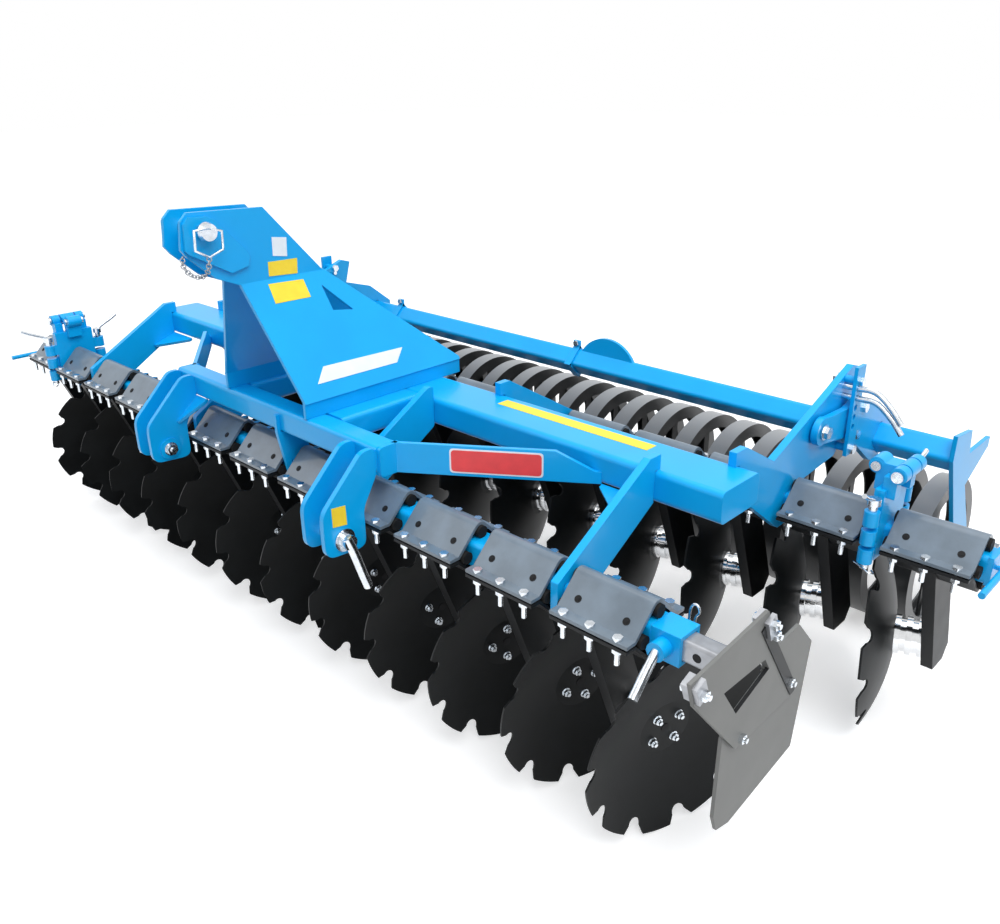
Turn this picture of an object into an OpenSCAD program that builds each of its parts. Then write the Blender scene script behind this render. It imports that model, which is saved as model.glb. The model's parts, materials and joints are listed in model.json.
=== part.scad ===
// Mounted compact disc harrow: two rows of notched discs on rubber-sprung arms, end sections
// that fold up for the road, sliding side deflectors, a three-point headstock and a ring roller.
// Millimetres. X runs across the machine, -Y is the way it is pulled, Z is up from the ground.

/* [Rows] */
// Spacing of the discs along a row
disc_pitch = 250; // [240:5:280]
// Distance between the two disc beams
row_gap = 730; // [700:10:900]
// Height of the disc beams' centre line above the ground
beam_z = 605; // [590:5:660]
// Outer width of the square disc beams
beam_w = 70; // [60:1:80]
// Wall of the square disc beams
beam_wall = 8; // [4:1:12]
// Spacing of the folding end clamp from its neighbour
fold_pitch = 264; // [262:1:300]

/* [Discs] */
// Diameter of a disc
disc_d = 510; // [460:10:520]
// Thickness of a disc
disc_t = 5; // [4:0.5:8]
// Diameter of the flat centre of a disc
disc_flat_d = 140; // [120:2:180]
// Depth of the dish from the flat to the rim
disc_dish = 58; // [40:1:64]
// Radius of a rim notch's round end
notch_r = 18; // [14:1:22]
// Depth of a rim notch
notch_depth = 36; // [30:1:44]
// Width of a rim notch at the rim
notch_mouth = 66; // [46:1:70]
// Angle of the discs to the way of travel
gang_angle = 17.4; // [12:0.2:20]
// Lean of the discs from upright
disc_lean = 3.6; // [0:0.2:5]
// How far a hub trails behind its beam
hub_trail = 134; // [110:2:150]

/* [Hubs] */
// Diameter of the hub rings
hub_d = 104; // [90:1:110]
// Length of a hub behind its disc
hub_len = 72; // [60:1:76]
// Diameter of the axle in a hub
axle_d = 40; // [30:1:46]

/* [Clamps and arms] */
// Width of a clamp along the beam
clamp_w = 200; // [180:1:210]
// Depth of a clamp from flange tip to flange tip
clamp_d = 200; // [190:1:220]
// Thickness of the clamp plates
clamp_t = 8; // [5:0.5:10]
// Diameter of the rubber cords
cord_d = 30; // [26:1:34]
// How far a cord stands out of its clamp
cord_out = 8; // [4:1:10]
// Gap between the upper and lower flanges
flange_gap = 4; // [2:0.5:8]
// Thickness of a disc arm
arm_t = 30; // [20:1:34]
// Width of a disc arm
arm_w = 100; // [90:1:110]
// How far an arm reaches below its hub's centre
arm_foot = 38; // [34:1:50]
// Shift of the front arms along the beam from their clamps' middles
front_arm_shift = -54; // [-60:1:-40]

/* [Main frame] */
// Depth of the main beam
main_w = 160; // [120:1:180]
// Height of the main beam
main_h = 80; // [70:1:110]
// Top of the main beam above the ground
deck_z = 800; // [780:2:860]
// Length of the main beam
main_len = 2500; // [2460:10:2600]
// Wall of the main beam
main_wall = 8; // [5:1:12]
// Width of the square hitch tube
hitch_tube_w = 70; // [60:1:90]
// Front face of the hitch tube ahead of the main beam's centre
hitch_tube_reach = 424; // [410:2:470]
// Spacing of the two rails
rail_span = 580; // [540:2:620]
// Width of a rail
rail_w = 90; // [70:1:100]
// Thickness of the carrier plates
carrier_t = 20; // [15:1:25]
// How far the carriers stand above the main beam
carrier_rise = 36; // [20:1:50]
// Thickness of the side braces
brace_t = 12; // [8:1:16]
// Distance between the side braces' rear ends
brace_span = 1800; // [1700:10:1900]

/* [Hitch] */
// Distance between the middles of the lower hitch points
hitch_span = 875; // [820:5:970]
// Clear gap between the two plates of a lower hitch point
hitch_gap = 65; // [56:1:90]
// Thickness of the hitch plates
hitch_plate_t = 15; // [12:1:20]
// Diameter of the lower hitch pins
lower_pin_d = 36; // [28:0.1:37]
// Height of the lower hitch pins
lower_pin_z = 590; // [580:2:620]
// How far the lower hitch pins lie ahead of the main beam
lower_pin_reach = 537; // [530:1:545]
// How far the top link pin lies ahead of the main beam
top_pin_reach = 572; // [560:2:590]
// Diameter of the top link pin
top_pin_d = 31.7; // [25:0.1:32]
// Clear gap between the tower's two cheeks
tower_gap = 72; // [60:1:90]
// Thickness of the tower plates
tower_t = 10; // [8:1:12]
// Top of the tower above the ground
tower_z = 1341; // [1300:1:1400]
// Width of the tower at its foot
tower_foot_w = 396; // [360:2:430]
// Height of the upright lip along the tower's foot
tower_lip = 46; // [30:1:60]

/* [Folding ends] */
// Height of the fold hinge
hinge_z = 780; // [770:2:820]
// Spacing of the fold link's two pins
link_span = 64; // [56:1:72]
// Diameter of the hinge barrels
hinge_d = 40; // [34:1:50]
// Diameter of the hinge pin
hinge_pin_d = 20; // [16:1:24]
// Thickness of the meeting plates at the fold
fold_plate_t = 12; // [10:1:14]

/* [Deflectors] */
// Play of a deflector's sliding tube in its beam
slide_play = 2; // [1:0.5:3]
// Wall of the housings at the beams' ends
housing_wall = 9; // [8:1:14]
// Length of a housing beyond its last clamp
housing_len = 78; // [60:2:100]
// Distance from the last clamp's middle to the deflector plate
deflector_out = 290; // [270:2:320]
// Thickness of the deflector plates
deflector_t = 8; // [6:1:12]

/* [Roller] */
// Diameter of the roller rings
roller_d = 500; // [460:10:520]
// Length of the roller over its rings
roller_len = 2800; // [2700:10:2820]
// Number of rings
ring_count = 21; // [17:1:23]
// Width of a ring's band
ring_w = 62; // [46:1:70]
// Depth of a ring's side walls
ring_depth = 46; // [30:1:60]
// Thickness of the ring plates
ring_t = 6; // [4:0.5:8]
// Diameter of the roller's centre tube
roller_tube_d = 152; // [120:1:180]
// How far the roller's axis lies behind the main beam
roller_reach = 1030; // [1020:5:1080]
// Width of the square roller beam
roller_beam_w = 72; // [60:1:80]
// How far the roller beam lies behind the main beam
roller_beam_reach = 850; // [845:1:875]
// Height of the roller beam
roller_beam_z = 650; // [640:2:670]
// How far the roller arms' pivot lies behind the main beam
pivot_reach = 461; // [455:1:466]
// Height of the roller arms' pivot
pivot_z = 778; // [772:1:786]
// Thickness of the roller arm plates
roller_arm_t = 18; // [14:1:20]
// Thickness of the depth hole plates
hole_plate_t = 10; // [8:1:12]

/* [Hidden] */
$fn = 48;
row_discs = 12;
fixed_discs = row_discs - 1;
notch_count = 11;
ring_spokes = 4;
// Overrun of every cut
over = 2;
// Radial play of a shaft in its bore
fit = 0.05;
// Seating gap of rubber and plates that lie against each other
seat = 0.2;
// Corner radius of the square tubes in shares of their smaller side
corner_share = 0.18;
// Running gap between pieces that move past each other
run_gap = 6;

blue = "#1a96e8";
black = "#26282b";
zinc = "#c9ced2";
rubber = "#161616";
clamp_grey = "#5b6067";

// Places across the machine
row_shift_share = 0.75;
first_x = disc_pitch * (row_discs - 1) / 2 - row_shift_share * disc_pitch;
last_x = first_x - disc_pitch * (fixed_discs - 1);
fold_x = last_x - fold_pitch;
near_gap_x = first_x - disc_pitch / 2;
far_gap_x = last_x + disc_pitch / 2;
mid_gap_x = first_x - disc_pitch * 4.5;
mid_carrier_shares = [3.5, 6.5];
beam_end_x = first_x + clamp_w / 2 + housing_len;
housing_from = first_x + clamp_w / 2 + cord_out + seat;
split_x = -(last_x + fold_x) / 2;
fold_end_x = -fold_x + clamp_w / 2 + cord_out + run_gap;

// Clamp section, round the beam's centre
cord_r = cord_d / 2;
cord_c = beam_w / 2 + cord_r + seat;
shell_in = cord_r + seat;
shell_out = shell_in + clamp_t;
flange_z = flange_gap / 2;

// Disc dish
disc_r = disc_d / 2;
flat_r = disc_flat_d / 2;
dish_c = (disc_r * disc_r - flat_r * flat_r + disc_dish * disc_dish) / (2 * disc_dish);
dish_r = sqrt(flat_r * flat_r + dish_c * dish_c);

// Hub place from its clamp's middle on the beam
hub_gap = hub_d / 2 * sin(gang_angle) + run_gap;
hub_x = arm_t / 2 + (hub_gap + hub_len) * cos(gang_angle);
rim_edge = dish_c - sqrt((dish_r - disc_t) * (dish_r - disc_t) - disc_r * disc_r);
hub_z = disc_r * cos(disc_lean) + rim_edge * sin(disc_lean);
hub_drop = beam_z - hub_z;

// Main frame
main_z = deck_z - main_h / 2;
drain_d = 20;
hitch_tube_y = -hitch_tube_reach + hitch_tube_w / 2;
hitch_tube_z = deck_z - hitch_tube_w / 2;
hitch_tube_len = hitch_span + hitch_gap + 2 * hitch_plate_t;

// Tower outline in shares of the top link pin's reach and of the tower's height: rounded front top,
// rounded nose, underside, front bend, rear bend and rear top
tower_shares = [[1.05, 1], [1.085, 0.965], [1.1, 0.84], [1.075, 0.805], [0.951, 0.688], [0.839, 0.64],
                [0.388, 0.64], [0.684, 0.985]];
pin_share = 0.917;
tower_h = tower_z - deck_z;
top_pin_z = deck_z + tower_h * pin_share;
tower_points = [for (p = tower_shares) [-top_pin_reach * p[0], deck_z + tower_h * p[1]]];

// Reach ahead of and behind the main beam's middle, and the shift that centres the machine
tower_nose = -tower_points[2][0];
roller_back = roller_reach + roller_d / 2;
y0 = (tower_nose - roller_back) / 2;
front_y = y0 - row_gap / 2;
rear_y = y0 + row_gap / 2;

// Roller
roller_r = roller_d / 2;
roller_y = y0 + roller_reach;
roller_half = roller_len / 2;
end_plate_t = 12;
end_gap = 36;
end_plate_x = roller_half + end_gap;
stub_d = 50;
ring_pitch = (roller_len - ring_w) / (ring_count - 1);
pivot_pin_d = 24;
depth_y = pivot_reach + 7.5 * carrier_t;

// Outline of a square tube with rounded corners
module tube_outline(w, h) {
    r = corner_share * min(w, h);
    square([w - 2 * r, h], center = true);
    square([w, h - 2 * r], center = true);
    for (a = [-1, 1], b = [-1, 1])
        translate([a * (w / 2 - r), b * (h / 2 - r)])
            circle(r = r);
}

// Square tube along X between two places, centred on Y and Z: its ends are open or have caps
module tube_x(x_from, x_to, w, h, wall, cap = -over) {
    difference() {
        plate_x((x_from + x_to) / 2, x_to - x_from)
            tube_outline(w, h);
        translate([x_from + cap, wall - w / 2, wall - h / 2])
            cube([x_to - x_from - 2 * cap, w - 2 * wall, h - 2 * wall]);
    }
}

// Plate in a plane across X: its outline is drawn in Y and Z
module plate_x(x_mid, t) {
    translate([x_mid - t / 2, 0, 0])
        rotate([90, 0, 90])
            linear_extrude(t)
                children();
}

// Cylinder along X from a place, of a length
module rod_x(x_from, len, d) {
    translate([x_from, 0, 0])
        rotate([0, 90, 0])
            cylinder(d = d, h = len);
}

// Cylinder along Y from a place, of a length
module rod_y(y_from, len, d) {
    translate([0, y_from, 0])
        rotate([-90, 0, 0])
            cylinder(d = d, h = len);
}

// Inside of a clamp half: the roof that wraps the beam and its cords
module shell_inner() {
    s = shell_in / sqrt(2);
    top = cord_c + s;
    foot = top + s;
    polygon([[-foot, 0], [foot, 0], [s, top], [-s, top]]);
    translate([0, cord_c])
        circle(r = shell_in);
}

// Outside of a clamp half, filled in
module shell_outer() {
    s = shell_out / sqrt(2);
    top = cord_c + s;
    foot = top + s - flange_z;
    polygon([[-foot, flange_z], [foot, flange_z], [s, top], [-s, top]]);
    translate([0, cord_c])
        circle(r = shell_out);
    translate([-clamp_d / 2, flange_z])
        square([clamp_d, clamp_t]);
}

// Section of the upper half of a clamp
module shell_section() {
    difference() {
        shell_outer();
        shell_inner();
    }
}

// A clamp round a beam along X: its upper and lower halves
module clamp_pair() {
    for (side = [0, 1])
        mirror([0, 0, side])
            plate_x(0, clamp_w)
                shell_section();
}

// The four rubber cords of a clamp
module clamp_cords() {
    len = clamp_w + 2 * cord_out;
    for (a = [0:90:270])
        rotate([a, 0, 0])
            translate([0, 0, cord_c])
                rod_x(-len / 2, len, cord_d);
}

// Outline of a disc arm from its clamp to its hub, in Y and Z round the beam's centre
module arm_outline() {
    lean = atan2(hub_trail, hub_drop);
    half = arm_w / 2 / cos(lean);
    top = flange_z + clamp_t;
    below = arm_foot;
    slope = tan(lean);
    corner = arm_w / 4;
    polygon([
        [-half, -top],
        [half, -top],
        [hub_trail + half, -hub_drop],
        [hub_trail + half - corner, -hub_drop - below],
        [hub_trail - half + below * slope, -hub_drop - below]]);
}

// An arm under its clamp, with the axle that carries a hub
module arm_unit(shift) {
    translate([shift, 0, 0]) {
        plate_x(0, arm_t)
            difference() {
                arm_outline();
                mirror([0, 1])
                    shell_outer();
            }
        at_hub()
            rotate([0, 90, 0])
                translate([0, 0, -hub_len - hub_gap - arm_t / 2])
                    cylinder(d = axle_d, h = hub_len / 2 + hub_gap + arm_t / 2);
    }
}

// Frame of a hub: the axle lies along X and the disc's hollow faces +X
module at_hub() {
    translate([hub_x, hub_trail, -hub_drop])
        rotate([0, disc_lean, -gang_angle])
            children();
}

// Section of a dished disc, radius along X and the axle along Y
module disc_section() {
    intersection() {
        difference() {
            translate([0, dish_c])
                circle(r = dish_r, $fn = 180);
            translate([0, dish_c])
                circle(r = dish_r - disc_t, $fn = 180);
        }
        translate([flat_r - disc_t, -disc_t])
            square([disc_r - flat_r + disc_t, disc_dish + 3 * disc_t]);
    }
    square([flat_r, disc_t]);
}

// A notched disc bolted to its ringed hub, with the axle's bore in the hub
module disc_unit(shift, turn_share) {
    ring_h = hub_len / 5;
    notch_x = disc_r - notch_depth + notch_r;
    translate([shift, 0, 0])
        at_hub()
            rotate([0, 90, 0])
                difference() {
                    union() {
                        rotate_extrude()
                            disc_section();
                        translate([0, 0, -hub_len])
                            cylinder(d = hub_d - ring_h, h = hub_len + disc_t / 2);
                        for (i = [0, 2, 4])
                            translate([0, 0, -hub_len + i * ring_h])
                                cylinder(d = hub_d, h = ring_h);
                    }
                    translate([0, 0, -hub_len - over])
                        cylinder(d = axle_d + 2 * fit, h = hub_len / 2 + over + fit);
                    for (i = [0:notch_count - 1])
                        rotate([0, 0, (i + turn_share) * 360 / notch_count])
                            translate([notch_x, 0, 0]) {
                                cylinder(r = notch_r, h = disc_dish + over * disc_t);
                                linear_extrude(disc_dish + over * disc_t)
                                    polygon([
                                        [0, -notch_r],
                                        [disc_r - notch_x, -notch_mouth / 2],
                                        [notch_depth, -notch_mouth / 2],
                                        [notch_depth, notch_mouth / 2],
                                        [disc_r - notch_x, notch_mouth / 2],
                                        [0, notch_r]]);
                            }
                }
}

// Places on the two rows: the front row's first clamp is at +X and the rear row is its mirror image
module on_front(x) {
    translate([x, front_y, beam_z])
        children();
}

module on_rear(x) {
    mirror([1, 0, 0])
        translate([x, rear_y, beam_z])
            children();
}

module on_fixed_rows() {
    for (i = [0:fixed_discs - 1]) {
        on_front(first_x - i * disc_pitch)
            children();
        on_rear(first_x - i * disc_pitch)
            children();
    }
}

module disc_beam_tube() {
    tube_x(-split_x + fold_plate_t + seat, housing_from, beam_w, beam_w, beam_wall);
}

module disc_beams() {
    color(blue) {
        on_front(0)
            disc_beam_tube();
        on_rear(0)
            disc_beam_tube();
    }
}

module clamps() {
    color(clamp_grey)
        on_fixed_rows()
            clamp_pair();
}

module arms() {
    color(black)
        for (i = [0:fixed_discs - 1]) {
            on_front(first_x - i * disc_pitch)
                arm_unit(front_arm_shift);
            on_rear(first_x - i * disc_pitch)
                arm_unit(0);
        }
}

module cords() {
    color(rubber)
        on_fixed_rows()
            clamp_cords();
}

module main_beam() {
    color(blue)
        translate([0, y0, main_z])
            difference() {
                tube_x(-main_len / 2, main_len / 2, main_w, main_h, main_wall, main_wall);
                translate([0, 0, -main_h / 2 - over])
                    cylinder(d = drain_d, h = main_wall + 2 * over);
            }
}

module hitch_tube() {
    color(blue)
        translate([0, y0 + hitch_tube_y, hitch_tube_z])
            tube_x(-hitch_tube_len / 2, hitch_tube_len / 2, hitch_tube_w, hitch_tube_w, main_wall);
}

module rails() {
    len = hitch_tube_reach - hitch_tube_w - main_w / 2;
    color(blue)
        for (side = [-1, 1])
            translate([side * rail_span / 2, y0 - main_w / 2 - len, hitch_tube_z])
                rotate([0, 0, 90])
                    tube_x(0, len, rail_w, hitch_tube_w, main_wall);
}

// Tower: two bent sides, upright above the bend and spreading to a lip along the foot below it
tower_bend_z = tower_points[5][1];
tower_in = tower_gap / 2;
tower_foot_front = hitch_tube_reach;
tower_foot_back = main_w / 2 + brace_t * 5;
lip_z = deck_z + tower_lip;
foot_in = tower_foot_w / 2 - tower_t;
// Window in a spread side, in shares of its slant length from the rear bend
tower_cut_shares = [[-0.067, -0.13], [0.15, -0.38], [-0.043, -0.35]];
// Doubling plate in shares of the tower's height round the top link pin
cheek_shares = [[-0.086, 0.035], [-0.06, 0.065], [0.03, 0.061], [0.065, 0.044], [0.22, -0.123],
                [0.23, -0.15], [0.216, -0.19], [0.125, -0.21], [-0.075, -0.1], [-0.094, -0.08]];

module tower_lower_outline() {
    drop = tower_bend_z - lip_z;
    front = tower_points[5][0];
    back = tower_points[6][0];
    slant = sqrt(drop * drop + (foot_in - tower_in) * (foot_in - tower_in));
    difference() {
        polygon([
            [front, 0],
            [back, 0],
            [tower_foot_back, -slant],
            [tower_foot_back, -slant - tower_t],
            [-tower_foot_front, -slant - tower_t],
            [-tower_foot_front, -slant]]);
        translate([back, 0])
            polygon([for (p = tower_cut_shares) p * slant]);
    }
}

module tower_side() {
    spread = atan2(foot_in - tower_in, tower_bend_z - lip_z);
    plate_x(tower_in + tower_t / 2, tower_t)
        difference() {
            polygon(tower_points);
            translate([-top_pin_reach, top_pin_z])
                circle(d = top_pin_d + 2 * fit);
        }
    intersection() {
        translate([tower_in, 0, tower_bend_z])
            rotate([0, -spread, 0])
                plate_x(tower_t / 2, tower_t)
                    tower_lower_outline();
        translate([0, -tower_nose, lip_z - tower_t / 2])
            cube([tower_foot_w, tower_nose + tower_z, tower_z]);
    }
    translate([foot_in, -tower_foot_front, deck_z])
        cube([tower_t, tower_foot_front + tower_foot_back, tower_lip]);
}

module tower_sides() {
    color(blue)
        translate([0, y0, 0])
            for (side = [0, 1])
                mirror([side, 0, 0])
                    tower_side();
}

// Closing plate between the tower's sides along their back slope
module tower_back() {
    top = tower_points[7];
    run = tower_points[6] - top;
    len = norm(run);
    color(blue)
        translate([0, y0 + top[0], top[1]])
            rotate([atan2(run[1], run[0]), 0, 0])
                translate([-tower_in, tower_t, -2 * tower_t])
                    cube([tower_gap, len - 2 * tower_t, tower_t]);
}

// Doubling plates outside the top link eye
module tower_cheeks() {
    color(blue)
        translate([0, y0, 0])
            for (side = [-1, 1])
                plate_x(side * (tower_in + 1.5 * tower_t), tower_t)
                    translate([-top_pin_reach, top_pin_z])
                        difference() {
                            polygon(cheek_shares * tower_h);
                            circle(d = top_pin_d + 2 * fit);
                        }
}

module top_link_pin() {
    len = tower_gap + 6 * tower_t;
    color(zinc)
        translate([0, y0 - top_pin_reach, top_pin_z]) {
            rod_x(-len / 2, len, top_pin_d);
            rod_x(len / 2, tower_t, top_pin_d * 1.3);
        }
}

// Lower hitch plates: four hooked plates on the hitch tube, clear of the front clamps' flanges
module hitch_plate_outline() {
    r = lower_pin_d;
    back = -hitch_tube_reach;
    tip = -row_gap / 2 - clamp_d / 2 - run_gap;
    difference() {
        polygon([
            [back, deck_z],
            [min(back, tip) + r / 6, deck_z],
            [-lower_pin_reach - 1.4 * r, lower_pin_z + 2.5 * r],
            [-lower_pin_reach - 1.6 * r, lower_pin_z + 1.9 * r],
            [-lower_pin_reach - 1.6 * r, lower_pin_z - r / 2],
            [-lower_pin_reach - 1.2 * r, lower_pin_z - r],
            [tip - r / 2, lower_pin_z - 1.2 * r],
            [tip, lower_pin_z - 0.9 * r],
            [tip, lower_pin_z + 1.7 * r],
            [back, deck_z - hitch_tube_w]]);
        translate([-lower_pin_reach, lower_pin_z])
            circle(d = lower_pin_d + 2 * fit);
    }
}

module hitch_plates() {
    color(blue)
        translate([0, y0, 0])
            for (side = [-1, 1], edge = [-1, 1])
                plate_x(side * hitch_span / 2 + edge * (hitch_gap + hitch_plate_t) / 2, hitch_plate_t)
                    hitch_plate_outline();
    color(blue)
        for (side = [0, 1])
            mirror([side, 0, 0])
                hitch_gusset();
}

// Flat gusset between an inner hitch plate and the hitch tube's front face
module hitch_gusset() {
    x_in = hitch_span / 2 - hitch_gap / 2 - hitch_plate_t;
    leg = hitch_tube_w;
    translate([x_in, y0 - hitch_tube_reach, hitch_tube_z - brace_t / 2])
        linear_extrude(brace_t)
            polygon([[over, 0], [-leg, 0], [-leg, -leg / 8], [0, -1.4 * leg], [over, -1.4 * leg]]);
}

module lower_pins() {
    len = hitch_gap + 4 * hitch_plate_t;
    color(zinc)
        translate([0, y0 - lower_pin_reach, lower_pin_z])
            for (side = [-1, 1])
                translate([side * hitch_span / 2, 0, 0])
                    rod_x(-len / 2, len, lower_pin_d);
}

// Plate that ties the hitch tube to the front disc beam, between two clamps
module centre_plate() {
    bottom = deck_z - hitch_tube_w;
    beam_top = beam_z + beam_w / 2;
    beam_front = -row_gap / 2 - beam_w / 2;
    front = min(-hitch_tube_reach, beam_front) - brace_t;
    color(blue)
        translate([0, y0, 0])
            plate_x(mid_gap_x, brace_t)
                polygon([
                    [front, deck_z - hitch_tube_w / 4],
                    [-hitch_tube_reach, deck_z - hitch_tube_w / 4],
                    [-hitch_tube_reach, bottom],
                    [-hitch_tube_reach + hitch_tube_w, bottom],
                    [beam_front + beam_w, beam_top],
                    [beam_front, beam_top],
                    [beam_front, beam_z],
                    [beam_front - brace_t, beam_z],
                    [front, bottom]]);
}

// Carrier plates that hang the disc beams from the main beam: two ahead, two long ones with the
// roller's pivots behind, and two short ones between those
module front_carrier_outline() {
    y_beam = -row_gap / 2;
    half = beam_w / 2;
    rim = carrier_t;
    face = -main_w / 2;
    difference() {
        polygon([
            [y_beam - half - rim, beam_z + half + rim / 2],
            [y_beam - half - rim, beam_z - half],
            [y_beam - half, beam_z - half - rim],
            [y_beam + half, beam_z - half - rim],
            [y_beam + half + 3 * rim, beam_z],
            [face, deck_z - main_h],
            [face, deck_z],
            [face + rim, deck_z],
            [face + rim, deck_z + carrier_rise],
            [face - rim, deck_z + carrier_rise]]);
        translate([y_beam - half, beam_z - half])
            square(beam_w);
    }
}

module rear_carrier_outline() {
    y_beam = row_gap / 2;
    half = beam_w / 2;
    rim = carrier_t;
    face = main_w / 2;
    difference() {
        polygon([
            [face, deck_z],
            [face, deck_z - main_h],
            [y_beam - half - rim, beam_z - half - rim],
            [y_beam + half + rim, beam_z - half - rim],
            [y_beam + half + 1.5 * rim, beam_z + half + rim / 2],
            [depth_y - rim / 2, pivot_z - 5.8 * rim],
            [depth_y + rim, pivot_z - 4.4 * rim],
            [depth_y + 4 * rim, pivot_z + 6 * rim],
            [depth_y + 2 * rim, pivot_z + 6.6 * rim],
            [y_beam - half - 4 * rim, deck_z - 2.2 * rim],
            [face + 1.4 * rim, deck_z + carrier_rise],
            [face - rim, deck_z + carrier_rise],
            [face - rim, deck_z]]);
        translate([y_beam - half, beam_z - half])
            square(beam_w);
        translate([pivot_reach, pivot_z])
            circle(d = pivot_pin_d + 2 * fit);
    }
}

module carriers() {
    color(blue)
        translate([0, y0, 0]) {
            for (x = [near_gap_x, far_gap_x])
                plate_x(x, carrier_t)
                    front_carrier_outline();
            for (x = [-near_gap_x, -far_gap_x])
                plate_x(x, carrier_t)
                    rear_carrier_outline();
            for (k = mid_carrier_shares)
                plate_x(k * disc_pitch - first_x, carrier_t)
                    mirror([1, 0])
                        front_carrier_outline();
        }
}

// Side braces from the hitch tube's ends to the main beam
module side_braces() {
    x_front = hitch_tube_len / 2 + brace_t;
    y_front = -hitch_tube_reach + hitch_tube_w;
    x_back = brace_span / 2;
    y_back = -main_w / 2;
    turn = atan2(y_back - y_front, x_back - x_front);
    run = (x_back - x_front) / cos(turn);
    cut = main_h * 0.6;
    color(blue)
        translate([0, y0, 0])
            for (side = [0, 1])
                mirror([side, 0, 0])
                    intersection() {
                        translate([x_front, y_front, deck_z - main_h])
                            rotate([90, 0, turn])
                                linear_extrude(brace_t)
                                    polygon([
                                        [-brace_span, 0],
                                        [run + main_h, 0],
                                        [run + main_h, main_h - cut],
                                        [run, main_h - cut],
                                        [run - 2 * cut, main_h],
                                        [-brace_span, main_h]]);
                        translate([hitch_tube_len / 2, -hitch_tube_reach, deck_z - main_h])
                            cube([brace_span, hitch_tube_reach - main_w / 2, main_h]);
                    }
}

// Housings at the free ends of the beams, where the deflectors slide in
slide_w = beam_w - 2 * beam_wall - 2 * slide_play;
slide_tail = 60;

module housing() {
    w = slide_w + 2 * housing_wall;
    len = beam_end_x - housing_from;
    difference() {
        translate([housing_from, -w / 2, -w / 2])
            cube([len, w, w]);
        translate([housing_from - over, -slide_w / 2 - fit, -slide_w / 2 - fit])
            cube([len + 2 * over, slide_w + 2 * fit, slide_w + 2 * fit]);
    }
}

module housings() {
    color(blue) {
        on_front(0)
            housing();
        on_rear(0)
            housing();
    }
}

// Outlines of a deflector's bracket, its window and its side plate, in Y and Z round the beam's
// centre and in shares of the beam's width
bracket_shares = [[-2.74, 1.06], [1.06, 1.41], [3.49, -2.59], [-0.03, -2.6], [-2.47, 0.24]];
window_shares = [[-1, -0.16], [1.19, -0.23], [1.5, -0.7], [-0.21, -1.27]];
side_shares = [[0.86, -0.4], [3.44, -0.23], [4.47, -1.31], [3.99, -5.06], [0.3, -5.6], [-0.4, -5.4],
               [-0.64, -4.77], [-0.61, -1.96]];

// A deflector's sliding tube and the bracket plate at its end
module deflector_bracket() {
    from = beam_end_x - housing_len - slide_tail;
    x_plate = first_x + deflector_out;
    tube_x(from, x_plate, slide_w, slide_w, housing_wall / 2);
    plate_x(x_plate + deflector_t / 2, deflector_t)
        difference() {
            polygon(bracket_shares * beam_w);
            polygon(window_shares * beam_w);
        }
}

// A deflector's side plate, inside its bracket
module deflector_side() {
    x_plate = first_x + deflector_out;
    plate_x(x_plate - deflector_t / 2, deflector_t)
        difference() {
            polygon(side_shares * beam_w);
            for (i = [0:2])
                translate([0, -i * deflector_t])
                    polygon(window_shares * beam_w);
        }
}

module deflector_front() {
    color(black)
        on_front(0)
            deflector_bracket();
}

module deflector_front_plate() {
    color(black)
        on_front(0)
            deflector_side();
}

module deflector_rear() {
    color(black)
        on_rear(0)
            deflector_bracket();
}

module deflector_rear_plate() {
    color(black)
        on_rear(0)
            deflector_side();
}

// Fold: the fixed plate at the beam's end with the hinge link and its pins, and the barrels of the
// lock pin ahead of the plates
hinge_rise = hinge_z - beam_z;
fold_w = 0.7 * clamp_d;
eye_len = 0.2 * fold_w;
tongue_len = 2 * eye_len - run_gap;
eye_y = tongue_len / 2 + run_gap + eye_len / 2;
pin_half = eye_y + eye_len / 2 + over;
lock_d = 36;
lock_len = 37;
lock_gap = 2 * run_gap;
lock_y = -fold_w / 2 - lock_d * 0.7;
lock_mid_z = beam_w / 2 - fold_plate_t;
handle_d = 16;

module fold_plate() {
    low = beam_w / 2 + fold_plate_t;
    translate([0, -fold_w / 2, -low])
        cube([fold_plate_t, fold_w, low + hinge_rise - hinge_d]);
}

// A segment of the lock pin's barrel with the web to its own plate
module lock_barrel(z_mid, side) {
    x_web = side > 0 ? seat : -seat - fold_plate_t;
    translate([0, lock_y, z_mid - lock_len / 2])
        cylinder(d = lock_d, h = lock_len);
    translate([x_web, lock_y, z_mid - lock_len / 2])
        cube([fold_plate_t, -fold_w / 2 - lock_y, lock_len]);
}

// A hinge eye round one of the link's pins, and the riser that carries it
module eye(x, y_mid, len) {
    translate([x, 0, hinge_rise])
        rod_y(y_mid - len / 2, len, hinge_d);
}

module riser(x_from, y_mid, len) {
    translate([x_from, y_mid - len / 2, hinge_rise - 1.5 * hinge_d])
        cube([link_span / 2 - seat, len, 1.3 * hinge_d]);
}

module hinge_post() {
    translate([-split_x, 0, 0]) {
        translate([seat, 0, 0])
            fold_plate();
        for (side = [-1, 1])
            lock_barrel(lock_mid_z + side * (lock_len + lock_gap), 1);
        riser(seat, 0, tongue_len);
        for (side = [-1, 1])
            eye(side * link_span / 2, 0, tongue_len);
        translate([-link_span / 2, -tongue_len / 2, hinge_rise - hinge_d / 4])
            cube([link_span, tongue_len, hinge_d / 2]);
        translate([-link_span / 2, 0, hinge_rise])
            rod_y(-pin_half, 2 * pin_half, hinge_pin_d);
    }
}

module hinge_posts() {
    color(blue) {
        on_front(0)
            hinge_post();
        on_rear(0)
            hinge_post();
    }
}

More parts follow.
